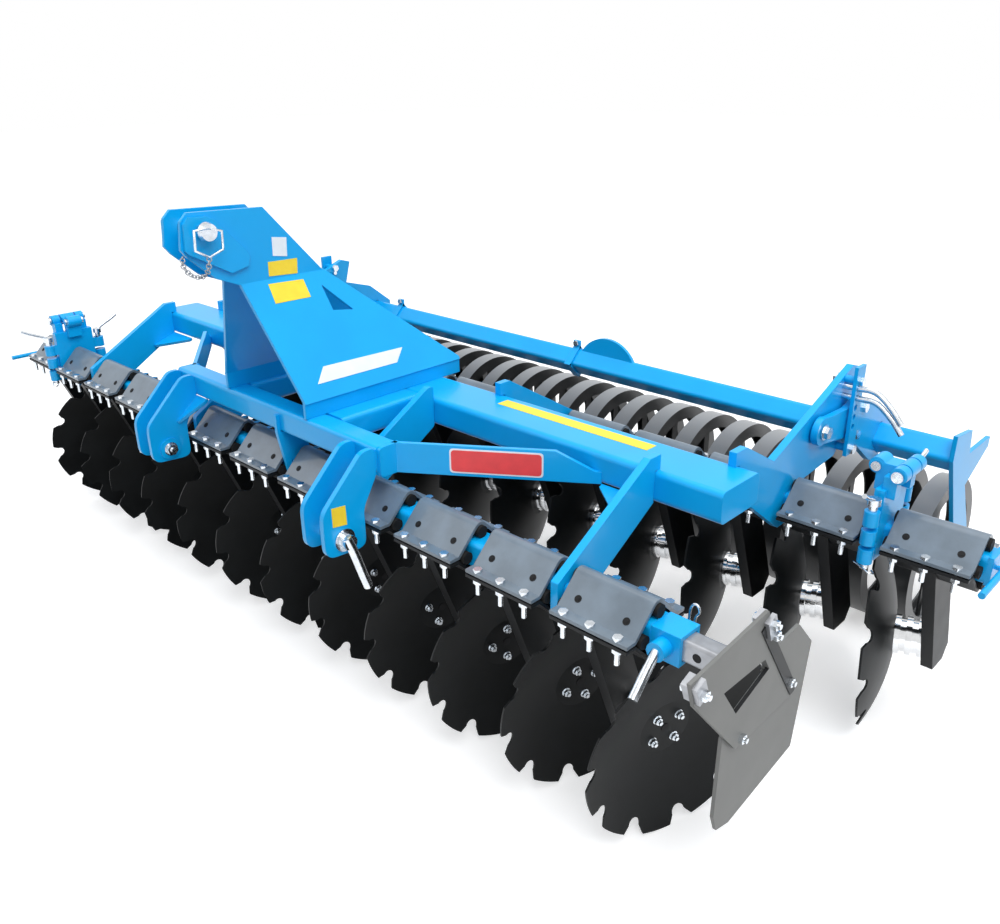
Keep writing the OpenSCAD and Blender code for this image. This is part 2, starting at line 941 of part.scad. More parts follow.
// The folding stub beam with its meeting plate, hinge eyes, end plate and lifting handle
module fold_stub() {
    translate([-split_x, 0, 0]) {
        translate([-seat - fold_plate_t, 0, 0])
            fold_plate();
        lock_barrel(lock_mid_z, -1);
        difference() {
            for (side = [-1, 1]) {
                eye(-link_span / 2, side * eye_y, eye_len);
                riser(-link_span / 2, side * eye_y, eye_len);
            }
            translate([-link_span / 2, 0, hinge_rise])
                rod_y(-fold_w, 2 * fold_w, hinge_pin_d + 2 * fit);
        }
    }
    tube_x(-fold_end_x, -split_x - seat - fold_plate_t, beam_w, beam_w, beam_wall);
    translate([-fold_end_x - fold_plate_t, -beam_w / 2, -beam_w / 2])
        cube([fold_plate_t, beam_w, beam_w]);
    translate([-fold_end_x - fold_plate_t - handle_d, -clamp_d * 3 / 4, 0])
        rod_y(0, clamp_d * 3 / 4 + handle_d, handle_d);
    translate([-fold_end_x - fold_plate_t - handle_d, -handle_d / 4, -handle_d / 4])
        cube([handle_d + over, handle_d / 2, handle_d / 2]);
}

module fold_front_stub() {
    color(blue)
        on_front(0)
            fold_stub();
}

module fold_rear_stub() {
    color(blue)
        on_rear(0)
            fold_stub();
}

module fold_front_clamp() {
    color(clamp_grey)
        on_front(fold_x)
            clamp_pair();
}

module fold_rear_clamp() {
    color(clamp_grey)
        on_rear(fold_x)
            clamp_pair();
}

module fold_front_arm() {
    color(black)
        on_front(fold_x)
            arm_unit(front_arm_shift);
}

module fold_rear_arm() {
    color(black)
        on_rear(fold_x)
            arm_unit(0);
}

module fold_front_cords() {
    color(rubber)
        on_front(fold_x)
            clamp_cords();
}

module fold_rear_cords() {
    color(rubber)
        on_rear(fold_x)
            clamp_cords();
}

// Roller frame: a square beam on edge between two end plates, with a half-round lug on its top
end_x = end_plate_x + end_plate_t;
lug_r = 133;
lug_x = 225;

module roller_beam() {
    color(blue)
        translate([0, y0 + roller_beam_reach, roller_beam_z]) {
            rotate([45, 0, 0])
                tube_x(-end_plate_x, end_plate_x, roller_beam_w, roller_beam_w, main_wall);
            intersection() {
                translate([lug_x, 0, -roller_beam_w / 3])
                    rod_y(-brace_t / 2, brace_t, 2 * lug_r);
                translate([lug_x - lug_r, -brace_t / 2, roller_beam_w / sqrt(2) - main_wall])
                    cube([2 * lug_r, brace_t, 2 * lug_r]);
            }
        }
}

// End plate in shares of the beam's width: points round the beam, then round the bearing
end_beam_shares = [[-0.7, 0], [-0.7, 1.04], [0.97, 0.83], [1.2, -0.2], [3.6, -0.2], [3.6, -0.62], [1.45, -1.67]];
end_axle_shares = [[0.5, 1.4], [0.9, 0], [-0.9, 0], [-1.5, 2.25]];

module end_plate_outline() {
    difference() {
        union() {
            polygon(concat(
                [for (p = end_beam_shares) p * roller_beam_w + [roller_beam_reach, roller_beam_z]],
                [for (p = end_axle_shares) p * roller_beam_w + [roller_reach, roller_r]]));
            translate([roller_reach, roller_r])
                circle(r = roller_beam_w * 0.9);
        }
        translate([roller_reach, roller_r])
            circle(d = stub_d + 2 * fit);
    }
}

module roller_ends() {
    color(blue)
        translate([0, y0, 0])
            for (side = [-1, 1])
                plate_x(side * (end_plate_x + end_plate_t / 2), end_plate_t)
                    end_plate_outline();
}

// Arms from the pivots on the rear carriers back to the roller beam
module roller_arm_outline() {
    r = 1.9 * carrier_t;
    w = roller_beam_w;
    difference() {
        union() {
            translate([pivot_reach, pivot_z])
                circle(r = r);
            polygon([
                [pivot_reach, pivot_z + 0.9 * r],
                [depth_y - carrier_t, pivot_z + 1.4 * carrier_t],
                [depth_y + 1.5 * carrier_t, pivot_z + 2 * carrier_t],
                [roller_beam_reach - w / 2, roller_beam_z + 1.65 * w],
                [roller_beam_reach + w, roller_beam_z + w / 2],
                [roller_beam_reach + w, roller_beam_z - w / 8],
                [roller_beam_reach, roller_beam_z - w],
                [roller_beam_reach - 0.7 * w, roller_beam_z - 0.8 * w],
                [depth_y + 2 * carrier_t, pivot_z - 4 * carrier_t],
                [depth_y - carrier_t, pivot_z - 2.8 * carrier_t],
                [pivot_reach, pivot_z - 0.9 * r]]);
        }
        translate([pivot_reach, pivot_z])
            circle(d = pivot_pin_d + 2 * fit);
        translate([roller_beam_reach, roller_beam_z])
            rotate(45)
                square(roller_beam_w, center = true);
    }
}

// Places of the rear carriers' outer faces, each with the side it faces
carrier_faces = [[-far_gap_x, 1], [-near_gap_x, -1]];

module roller_arms() {
    color(blue)
        translate([0, y0, 0])
            for (f = carrier_faces)
                plate_x(f[0] + f[1] * (carrier_t / 2 + run_gap + roller_arm_t / 2), roller_arm_t)
                    roller_arm_outline();
}

// Depth hole plates outside the roller arms on two spacers, with the arms' pivot pins
hole_rows = 5;
hole_d = 18;
hole_pitch = 27;

module hole_plate_outline() {
    half = 1.2 * carrier_t;
    top = pivot_z + 7.3 * carrier_t;
    low = pivot_z - 5.2 * carrier_t;
    difference() {
        translate([depth_y - half, low])
            square([2 * half, top - low]);
        for (i = [0:hole_rows - 1])
            translate([depth_y - half / 3, top - 3 * carrier_t - i * hole_pitch])
                circle(d = hole_d);
    }
}

module hole_plates() {
    gap = 2 * run_gap + roller_arm_t;
    color(blue)
        translate([0, y0, 0])
            for (f = carrier_faces)
                translate([f[0], 0, 0])
                    mirror([f[1] > 0 ? 0 : 1, 0, 0]) {
                        plate_x(carrier_t / 2 + gap + hole_plate_t / 2, hole_plate_t)
                            hole_plate_outline();
                        for (z = [pivot_z - 4.4 * carrier_t, pivot_z + 5.2 * carrier_t])
                            translate([carrier_t / 2, depth_y, z])
                                rod_x(0, gap, hole_d + 4);
                        translate([-carrier_t, pivot_reach, pivot_z])
                            rod_x(0, 1.5 * carrier_t + run_gap + roller_arm_t + over, pivot_pin_d);
                    }
}

// Roller: channel rings on spokes round a centre tube with stub shafts
module ring_section() {
    translate([roller_r - ring_t, -ring_w / 2])
        square([ring_t, ring_w]);
    for (side = [-1, 1])
        translate([roller_r - ring_depth, side * (ring_w - ring_t) / 2 - ring_t / 2])
            square([ring_depth - ring_t / 2, ring_t]);
}

module roller() {
    spoke_r = roller_tube_d / 2 - ring_t;
    color(black)
        translate([0, roller_y, roller_r])
            rotate([0, 90, 0]) {
                translate([0, 0, -roller_half])
                    difference() {
                        cylinder(d = roller_tube_d, h = roller_len);
                        translate([0, 0, main_wall])
                            cylinder(d = roller_tube_d - 2 * main_wall, h = roller_len - 2 * main_wall);
                    }
                for (side = [0, 1])
                    mirror([0, 0, side])
                        translate([0, 0, roller_half - main_wall])
                            cylinder(d = stub_d, h = end_x + run_gap - roller_half + main_wall);
                for (i = [0:ring_count - 1])
                    translate([0, 0, -roller_half + ring_w / 2 + i * ring_pitch]) {
                        rotate_extrude()
                            ring_section();
                        for (s = [0:ring_spokes - 1])
                            rotate([0, 0, s * 360 / ring_spokes])
                                translate([spoke_r, -ring_w / 4, -ring_t / 2])
                                    cube([roller_r - ring_t / 2 - spoke_r, ring_w / 2, ring_t]);
                    }
            }
}

main_beam();
hitch_tube();
rails();
tower_sides();
tower_back();
tower_cheeks();
top_link_pin();
hitch_plates();
lower_pins();
centre_plate();
disc_beams();
carriers();
side_braces();
clamps();
arms();
cords();
hinge_posts();
housings();
fold_front_stub();
fold_front_clamp();
fold_front_arm();
fold_front_cords();
fold_rear_stub();
fold_rear_clamp();
fold_rear_arm();
fold_rear_cords();
deflector_front();
deflector_front_plate();
deflector_rear();
deflector_rear_plate();
roller_beam();
roller_ends();
roller_arms();
hole_plates();
roller();
// Each disc is a node of its own: the last of a row is on the folding end
for (i = [1:row_discs]) {
    x = i > fixed_discs ? fold_x : first_x - (i - 1) * disc_pitch;
    turn_share = 0.23 + (i - 1) * 0.382;
    color(black) on_front(x) disc_unit(front_arm_shift, turn_share);
    color(black) on_rear(x) disc_unit(0, turn_share);
}
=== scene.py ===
import json
import math
import bpy
from mathutils import Matrix, Vector


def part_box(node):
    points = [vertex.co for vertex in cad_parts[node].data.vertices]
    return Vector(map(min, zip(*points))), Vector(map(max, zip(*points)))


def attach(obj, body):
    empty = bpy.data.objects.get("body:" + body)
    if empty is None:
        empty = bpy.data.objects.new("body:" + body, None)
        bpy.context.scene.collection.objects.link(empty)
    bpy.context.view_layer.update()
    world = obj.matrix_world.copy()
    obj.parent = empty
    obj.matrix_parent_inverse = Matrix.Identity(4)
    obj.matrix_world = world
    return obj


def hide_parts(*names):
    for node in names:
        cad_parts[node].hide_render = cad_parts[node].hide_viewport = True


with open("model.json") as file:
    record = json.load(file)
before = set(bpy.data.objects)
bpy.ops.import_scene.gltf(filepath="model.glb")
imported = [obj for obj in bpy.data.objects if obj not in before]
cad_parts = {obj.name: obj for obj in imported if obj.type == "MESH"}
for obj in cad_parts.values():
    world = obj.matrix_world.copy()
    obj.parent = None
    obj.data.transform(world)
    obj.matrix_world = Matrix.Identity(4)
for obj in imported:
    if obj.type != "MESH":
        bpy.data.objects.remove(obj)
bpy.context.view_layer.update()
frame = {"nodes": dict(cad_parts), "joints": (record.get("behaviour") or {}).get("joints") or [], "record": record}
nodes = frame["nodes"]
scene = bpy.context.scene

# Main places in millimetres: x across, y behind the main beam's middle, z above the ground
lo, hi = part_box("main_beam")
Y0 = (lo[1] + hi[1]) / 2
MM = 0.001
MAIN_FRONT = -80
FRAME_LOW, FRAME_TOP = 730, 800
TUBE_FRONT, TUBE_BACK = -424, -354
HITCH_IN, HITCH_OUT = 390, 485
PIN_Y, PIN_Z, PIN_D = -537, 590, 36
TOP_Y, TOP_Z = -572, 1296
ROW_Y, BEAM_Z = 365, 605
FIRST_X, PITCH, FIXED_CLAMPS = 1187.5, 250, 11
FOLD_X, LOCK_X = 1576.5, 1444.5
PIVOT_Y, PIVOT_Z = 461, 778
ROLLER_BEAM_Y, ROLLER_BEAM_Z = 850, 650
AXLE_Y, AXLE_Z = 1030, 250

# Across flats of the bolts' heads and nuts
HEX_M10, HEX_M12, HEX_M16, HEX_M20 = 17, 19, 24, 30

# The side of each row that folds, and the side that has a deflector
FOLDS = (("front", -1), ("rear", 1))
DEFLECTORS = (("front", 1), ("rear", -1))

X, Y, Z = Vector((1, 0, 0)), Vector((0, 1, 0)), Vector((0, 0, 1))


def at(x, y, z):
    return Vector((x / 1000, Y0 + y / 1000, z / 1000))


# Materials
def add_node(nt, kind, **values):
    """A new shader node with these input values."""
    node = nt.nodes.new("ShaderNode" + kind)
    for key, value in values.items():
        node.inputs[key.replace("_", " ")].default_value = value
    return node


def mix_color(nt, factor, a, b):
    """Colour a where the factor is 0 and b where it is 1, each a socket or a colour."""
    node = nt.nodes.new("ShaderNodeMix")
    node.data_type = "RGBA"
    nt.links.new(factor, node.inputs[0])
    for value, socket in ((a, node.inputs[6]), (b, node.inputs[7])):
        if isinstance(value, bpy.types.NodeSocket):
            nt.links.new(value, socket)
        else:
            socket.default_value = list(value) + [1]
    return node.outputs[2]


def uneven(nt, noise, color, vary):
    """A colour that varies by this share, lighter and darker."""
    ramp = nt.nodes.new("ShaderNodeValToRGB")
    dark, light = ramp.color_ramp.elements
    dark.position, light.position = 0.35, 0.65
    dark.color = [c * (1 - vary) for c in color] + [1]
    light.color = [min(1, c * (1 + vary)) for c in color] + [1]
    nt.links.new(noise, ramp.inputs["Fac"])
    return ramp.outputs["Color"]


def facing_up(nt):
    """One on surfaces that face up, and nothing on upright ones."""
    geo = nt.nodes.new("ShaderNodeNewGeometry")
    parts = nt.nodes.new("ShaderNodeSeparateXYZ")
    up = add_node(nt, "MapRange", From_Min=0.25, From_Max=0.95)
    nt.links.new(geo.outputs["Normal"], parts.inputs[0])
    nt.links.new(parts.outputs["Z"], up.inputs["Value"])
    return up.outputs["Result"]


def mat(name, color, rough, metal=0.0, vary=0.12, scale=30.0, coat=0.0, edge=0.0, bump=0.0,
        spec=0.5, painted_top_light=None):
    """A procedural finish, uneven in colour and gloss, with soft edges, fine bumps or painted light on top: a
    lighter colour on faces that face up.
    """
    m = bpy.data.materials.new(name)
    m.use_nodes = True
    nt = m.node_tree
    shader = nt.nodes["Principled BSDF"]
    place = nt.nodes.new("ShaderNodeTexCoord")
    noise = add_node(nt, "TexNoise", Scale=scale, Detail=4)
    nt.links.new(place.outputs["Object"], noise.inputs["Vector"])
    base = uneven(nt, noise.outputs["Fac"], color, vary)
    # Painted light: faces that face up get a lighter colour, standing in for light falling on them
    if painted_top_light:
        base = mix_color(nt, facing_up(nt), base, painted_top_light)
    nt.links.new(base, shader.inputs["Base Color"])
    wear = add_node(nt, "MapRange", To_Min=rough * 0.85, To_Max=rough * 1.15)
    nt.links.new(noise.outputs["Fac"], wear.inputs["Value"])
    nt.links.new(wear.outputs["Result"], shader.inputs["Roughness"])
    shader.inputs["Metallic"].default_value = metal
    shader.inputs["Specular IOR Level"].default_value = spec
    if coat:
        shader.inputs["Coat Weight"].default_value = coat
        shader.inputs["Coat Roughness"].default_value = 0.08
    normal = None
    if edge:
        bevel = add_node(nt, "Bevel", Radius=edge)
        bevel.samples = 4
        normal = bevel.outputs["Normal"]
    if bump:
        grain = add_node(nt, "Bump", Strength=bump, Distance=0.002)
        nt.links.new(noise.outputs["Fac"], grain.inputs["Height"])
        if normal:
            nt.links.new(normal, grain.inputs["Normal"])
        normal = grain.outputs["Normal"]
    if normal:
        nt.links.new(normal, shader.inputs["Normal"])
    return m


M = {
    "frame_paint": mat("frame_paint", (0.002, 0.375, 0.80), 0.30, vary=0.04, scale=6, coat=0.2,
                       edge=0.003, spec=0.25),
    "disc_steel": mat("disc_steel", (0.006, 0.007, 0.0075), 0.42, vary=0.3, scale=9, bump=0.05, spec=0.16),
    "arm_paint": mat("arm_paint", (0.008, 0.009, 0.010), 0.42, vary=0.2, scale=12, edge=0.002, spec=0.2),
    # Clamp paint: dark paint with its base lightened to grey-blue, a painted sheen of the bright sky
    "clamp_paint": mat("clamp_paint", (0.125, 0.165, 0.205), 0.32, vary=0.14, scale=14, coat=0.4,
                       edge=0.002, bump=0.12),
    "rubber": mat("rubber", (0.010, 0.010, 0.010), 0.7, vary=0.2, scale=40, spec=0.2),
    "zinc": mat("zinc", (0.68, 0.72, 0.76), 0.24, metal=1.0, vary=0.1, scale=60),
    "dark_plate": mat("dark_plate", (0.150, 0.152, 0.145), 0.5, vary=0.1, scale=8, edge=0.002),
    # Roller steel: near black, with a lighter grey on faces that face up as painted light, where the rings'
    # insides catch the sky
    "roller_steel": mat("roller_steel", (0.014, 0.015, 0.016), 0.34, vary=0.2, scale=12,
                        painted_top_light=(0.26, 0.27, 0.28)),
}
BLUE, ZINC = M["frame_paint"], M["zinc"]
# Black that stands in for shade: painted shade in holes, dents and the windows' edges
SHADE_BLACK = mat("painted_shade_black", (0.012, 0.012, 0.013), 0.6, vary=0.2, scale=40, spec=0.2)
YELLOW = mat("plate_yellow", (0.92, 0.66, 0.035), 0.42, vary=0.04)
WHITE = mat("plate_white", (0.80, 0.84, 0.87), 0.42, vary=0.03)
RED = mat("plate_red", (0.80, 0.060, 0.066), 0.40, vary=0.05)
CHROME = mat("hub_chrome", (0.74, 0.75, 0.76), 0.12, metal=1.0, vary=0.06, scale=50)
SLIDE = mat("slide_steel", (0.36, 0.37, 0.39), 0.34, metal=0.6)

for sub in frame["record"]["subparts"]:
    mesh = nodes[sub["node"]].data
    mesh.materials.clear()
    mesh.materials.append(M[sub["material_slot"]])


def repaint(name, material, chosen):
    """Another material on those faces of a CAD node that pass the test."""
    mesh = nodes[name].data
    mesh.materials.append(material)
    for p in mesh.polygons:
        if chosen(p):
            p.material_index = len(mesh.materials) - 1


# Making of pieces
class Shape:
    """Loose faces gathered into one piece. Points are in metres, and sizes in millimetres."""

    def __init__(self):
        self.v, self.f, self.smooth, self.mi = [], [], [], []

    def add(self, pts, faces, smooth=False, mi=0):
        n = len(self.v)
        self.v += [tuple(p) for p in pts]
        for f in faces:
            self.f.append([i + n for i in f])
            self.smooth.append(smooth)
            self.mi.append(mi)

    def rod(self, a, b, r, sides=14, r2=None, mi=0, spin=0.0):
        """A round or many-sided bar from a to b, with radius r2 at b where it tapers."""
        d = (b - a).normalized()
        u = d.orthogonal().normalized()
        w = d.cross(u)
        turns = [spin + 2 * math.pi * k / sides for k in range(sides)]
        ring = [u * math.cos(t) + w * math.sin(t) for t in turns]
        p = [a + q * (r * MM) for q in ring] + [b + q * ((r2 or r) * MM) for q in ring]
        wall = [(k, (k + 1) % sides, sides + (k + 1) % sides, sides + k) for k in range(sides)]
        self.add(p, wall, sides > 8, mi)
        self.add(p[:sides], [tuple(range(sides))[::-1]], False, mi)
        self.add(p[sides:], [tuple(range(sides))], False, mi)

    def hexa(self, a, axis, across, h, mi=0, spin=0.0):
        """A bolt head or nut on face point a, standing along axis."""
        self.rod(a, a + axis * (h * MM), across / 2 / math.cos(math.pi / 6), 6, None, mi, spin)

    def bolt(self, a, axis, across, h, below=0, d=0, nut=None, mi=0):
        """A head on point a, with a shank of diameter d to below, and a nut that far down."""
        self.hexa(a, axis, across, h, mi)
        if d:
            self.rod(a - axis * (below * MM), a, d / 2, 10, None, mi)
        if nut is not None:
            self.hexa(a - axis * ((nut + across / 2) * MM), axis, across, across / 2, mi)

    def block(self, c, ex, ey, ez, mi=0):
        """A block round centre c with these half edges."""
        p = [c + (ex * i + ey * j + ez * k) * MM for i in (-1, 1) for j in (-1, 1) for k in (-1, 1)]
        walls = [(0, 1, 3, 2), (4, 6, 7, 5), (0, 4, 5, 1), (2, 3, 7, 6), (0, 2, 6, 4), (1, 5, 7, 3)]
        self.add(p, walls, False, mi)

    def plate(self, pts, normal, t, mi=0):
        """A flat plate whose outline lies on a surface, standing out along the normal."""
        n = len(pts)
        p = list(pts) + [q + normal * (t * MM) for q in pts]
        rim = [(k, (k + 1) % n, n + (k + 1) % n, n + k) for k in range(n)]
        self.add(p, [tuple(range(n))[::-1], tuple(range(n, 2 * n))] + rim, False, mi)

    def gusset(self, a, b, c, side, t=10):
        """A three-cornered stiffener from a wall's points a and b out to c, its tips cut off."""
        n = (b - a).cross(c - a).normalized() * -side
        self.plate([a, b, b + (c - a) * 0.12, c + (b - a) * 0.08, c], n, t)

    def wire(self, pts, r, sides=10, mi=0, closed=False):
        """A round wire along points."""
        n = len(pts)
        rings = []
        u = None
        for k in range(n):
            a = pts[k - 1] if k > 0 or closed else pts[k]
            b = pts[(k + 1) % n] if k < n - 1 or closed else pts[k]
            d = (b - a).normalized()
            u = d.orthogonal().normalized() if u is None else (u - d * u.dot(d)).normalized()
            w = d.cross(u)
            turns = [2 * math.pi * j / sides for j in range(sides)]
            rings.append([pts[k] + (u * math.cos(t) + w * math.sin(t)) * (r * MM) for t in turns])
        faces = []
        for k in range(n if closed else n - 1):
            i, j = k * sides, ((k + 1) % n) * sides
            faces += [(i + s, i + (s + 1) % sides, j + (s + 1) % sides, j + s) for s in range(sides)]
        self.add([q for ring in rings for q in ring], faces, True, mi)
        if not closed:
            self.add(rings[0], [tuple(range(sides))[::-1]], False, mi)
            self.add(rings[-1], [tuple(range(sides))], False, mi)

    def piece(self, name, body, mats, slot=None):
        """The gathered faces as an object that rides on a body."""
        me = bpy.data.meshes.new(name)
        me.from_pydata(self.v, [], self.f)
        for m in mats:
            me.materials.append(m)
        for p, smooth, mi in zip(me.polygons, self.smooth, self.mi):
            p.use_smooth = smooth
            p.material_index = mi
        me.validate()
        o = bpy.data.objects.new(name, me)
        scene.collection.objects.link(o)
        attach(o, body)
        return o


def curve(pts, steps=6):
    """Points of a smooth path through the given ones."""
    out = []
    n = len(pts)
    for k in range(n - 1):
        p0, p1, p2, p3 = pts[max(k - 1, 0)], pts[k], pts[k + 1], pts[min(k + 2, n - 1)]
        for t in [s / steps for s in range(steps)]:
            out.append(0.5 * ((2 * p1) + (p2 - p0) * t + (2 * p0 - 5 * p1 + 4 * p2 - p3) * t * t
                              + (3 * p1 - p0 - 3 * p2 + p3) * t ** 3))
    return out + [pts[-1]]


def soft(pts, r, steps=4):
    """A flat outline with its corners rounded, r back from each corner."""
    out = []
    n = len(pts)
    shares = [i / steps for i in range(steps + 1)]
    for k in range(n):
        p, q = Vector(pts[k]), (Vector(pts[k - 1]), Vector(pts[(k + 1) % n]))
        a, b = [p + (v - p).normalized() * min(r, (v - p).length * 0.45) for v in q]
        out += [a * (1 - t) ** 2 + p * 2 * t * (1 - t) + b * t * t for t in shares]
    return out


def rect(a0, a1, b0, b1):
    """The corners of a flat rectangle."""
    return [(a0, b0), (a1, b0), (a1, b1), (a0, b1)]


# Hitch plates with rounded corners, and sloping gussets down from the hitch tube
PLATE_T, PLATE_BACK = 15, PIN_Y + 66
s = Shape()
outline = soft([(TUBE_FRONT, FRAME_TOP), (TUBE_FRONT - 41, FRAME_TOP),
                (PIN_Y - 1.4 * PIN_D, PIN_Z + 2.5 * PIN_D), (PIN_Y - 1.6 * PIN_D, PIN_Z + 1.9 * PIN_D),
                (PIN_Y - 1.6 * PIN_D, PIN_Z - PIN_D / 2), (PIN_Y - 1.2 * PIN_D, PIN_Z - PIN_D),
                (PLATE_BACK - PIN_D / 2, PIN_Z - 1.2 * PIN_D), (PLATE_BACK, PIN_Z - 0.9 * PIN_D),
                (PLATE_BACK, PIN_Z + 1.7 * PIN_D), (TUBE_FRONT, FRAME_LOW)], 16)
for x in (-HITCH_OUT, -HITCH_IN - PLATE_T, HITCH_IN, HITCH_OUT - PLATE_T):
    s.plate([at(x, y, z) for y, z in outline], X, PLATE_T)
for side in (-1, 1):
    s.gusset(at(side * HITCH_IN, TUBE_FRONT, FRAME_LOW + 4),
             at(side * (HITCH_IN - 56), TUBE_FRONT, FRAME_LOW + 4),
             at(side * HITCH_IN, TUBE_FRONT - 78, FRAME_LOW - 62), side)
hitch = s.piece("hitch_plate_set", "frame", [BLUE], "frame_paint")
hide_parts("hitch_plates")

# Rails close under the tower's foot
RAIL_X, RAIL_W = 220, 90
s = Shape()
for side in (-1, 1):
    tube = soft(rect(side * RAIL_X - RAIL_W / 2, side * RAIL_X + RAIL_W / 2, FRAME_LOW, FRAME_TOP), 14)
    s.plate([at(x, TUBE_BACK, z) for x, z in tube], Y, MAIN_FRONT - TUBE_BACK)
rails = s.piece("rail_pair", "frame", [BLUE], "frame_paint")
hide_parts("rails")

# Ends of the side braces, bent round on to the hitch tube, the gussets at the outer plates to the
# front disc beam, and the middle plates to it
OUTER_MID, MIDDLE_X, MIDDLE_T = -62.5, (302.5, -447.5), 20
tab = soft(rect(TUBE_FRONT + 4, TUBE_BACK + 6, FRAME_TOP, FRAME_LOW - 10), 12)
middle = soft([(-420, 650), (-420, 570), (-400, 550), (-330, 550), (-270, 605), (-81, 719), (-81, 836),
               (-100, 836)], 8)
s = Shape()
for side in (-1, 1):
    s.plate([at(side * (HITCH_OUT + 0.3), y, z) for y, z in tab], X * side, 12)
    s.gusset(at(OUTER_MID + side * 1115, MAIN_FRONT - 0.5, 722),
             at(OUTER_MID + side * 985, MAIN_FRONT - 0.5, 722),
             at(OUTER_MID + side * 1115, MAIN_FRONT - 92, 690), side)
for x in MIDDLE_X:
    s.plate([at(x, y, z) for y, z in middle], X, MIDDLE_T)
s.piece("frame_stiffeners", "frame", [BLUE], "frame_paint")


# Clamp bolts, and pressed dents black as painted shade
def clamp_fittings(name, body, places):
    """Six flange bolts on each clamp, and two dents with a pip in them on each of its slopes, black as painted
    shade.
    """
    bolts, dents = Shape(), Shape()
    for x, y in places:
        for dx in (-70, 0, 70):
            for dy in (-90, 90):
                bolts.bolt(at(x + dx, y + dy, BEAM_Z + 10), Z, HEX_M12, 8, below=58, d=12, nut=20)
        for dx in (-62, 62):
            for side in (-1, 1):
                c = at(x + dx, y + side * 52, BEAM_Z + 31)
                n = Vector((0, side, 1)).normalized()
                dents.rod(c - n * MM, c + n * (0.8 * MM), 8.5, 14)
                dents.rod(c + n * (0.8 * MM), c + n * (2.2 * MM), 3.8, 10)
    bolts.piece(f"{name}_bolts", body, [ZINC], "zinc")
    # The dents in black: painted shade of their hollows
    dents.piece(f"{name}_dents", body, [SHADE_BLACK])


row_x = [FIRST_X - i * PITCH for i in range(FIXED_CLAMPS)]
clamp_fittings("clamp", "frame", [place for x in row_x for place in ((x, -ROW_Y), (-x, ROW_Y))])
for row, side in FOLDS:
    clamp_fittings(f"fold_{row}", f"folding_end_{row}", [(side * FOLD_X, side * ROW_Y)])


# Disc bolts on the hollow side, and the bright hubs behind the discs
def disc_fittings(joint):
    body = joint["child"]
    c, n = Vector(joint["pos_m"]), Vector(joint["axis"]).normalized()
    u = (Z - n * Z.dot(n)).normalized()
    w = n.cross(u)
    face = c + n * (5 * MM)
    turn = 1.25 * int(body.split("_")[-1]) - 2.15
    s = Shape()
    for t in [turn + k * math.pi / 2 for k in range(4)]:
        p = face + (u * math.cos(t) + w * math.sin(t)) * (44 * MM)
        on_washer = p + n * (2 * MM)
        s.rod(p, on_washer, 11.5, 16)
        s.hexa(on_washer, n, HEX_M10, 8, 0, t)
        s.rod(on_washer, p + n * (17 * MM), 5, 10)
    # A black disc on the hub's middle: painted shade of its hole
    s.rod(face, face + n * (1.2 * MM), 11, 16, None, 1)
    s.piece(f"{body}_bolts", body, [ZINC, SHADE_BLACK], "zinc")

    def on_hub(p):
        q = Vector(p.center) - c
        t = q.dot(n)
        return t < -2 * MM and (q - n * t).length < 52.5 * MM

    repaint(body, CHROME, on_hub)


for joint in frame["joints"]:
    if joint["child"].startswith("disc_"):
        disc_fittings(joint)

# Painted shade: the clamps black below the beam's top. The bright sliding tubes of the deflectors, and the edge of
# their windows black as painted shade
SLIDE_END = 1476.5 * MM
# The clamps' lower halves black: painted shade
for name in ("clamps", "fold_front_clamp", "fold_rear_clamp"):
    repaint(name, M["arm_paint"], lambda p: p.center.z < BEAM_Z / 1000)
for name in ("deflector_front", "deflector_rear"):
    repaint(name, SLIDE, lambda p: abs(p.center.x) < SLIDE_END)
    # The windows' up-facing edge black: painted shade
    repaint(name, SHADE_BLACK, lambda p: abs(p.center.x) >= SLIDE_END and abs(p.normal.x) < 0.1
            and 0.9 < p.normal.z < 0.97)


# Top link pin: round head, hexagonal ring and chain
def by_top_pin(x, dy, dz):
    return at(x, TOP_Y + dy, TOP_Z + dz)


s = Shape()
s.rod(by_top_pin(78, 0, 0), by_top_pin(92, 0, 0), 24, 24, 21)
s.wire([by_top_pin(90, -3, 10), by_top_pin(91, -40, 8), by_top_pin(93, -44, -38), by_top_pin(94, -10, -58),
        by_top_pin(93, 29, -44), by_top_pin(91, 33, 0)], 3.4, 8, 0, True)
path = curve([by_top_pin(92, -10, -60), by_top_pin(90, -14, -84), by_top_pin(84, -20, -100),
              by_top_pin(74, -34, -106), by_top_pin(62, -52, -96), by_top_pin(54, -62, -74),
              by_top_pin(50, -56, -56)], 3)
for k in range(len(path) - 1):
    a, b = path[k], path[k + 1]
    d = (b - a).normalized()
    across = d.orthogonal().normalized()
    if k % 2:
        across = d.cross(across)
    mid, half = (a + b) / 2, (b - a).length * 0.72
    turns = [2 * math.pi * q / 10 for q in range(10)]
    link = [mid + d * half * math.cos(t) + across * (5.8 * MM) * math.sin(t) for t in turns]
    s.wire(link, 1.6, 6, 1, True)
s.piece("top_pin_ring", "frame", [ZINC, SLIDE], "zinc")

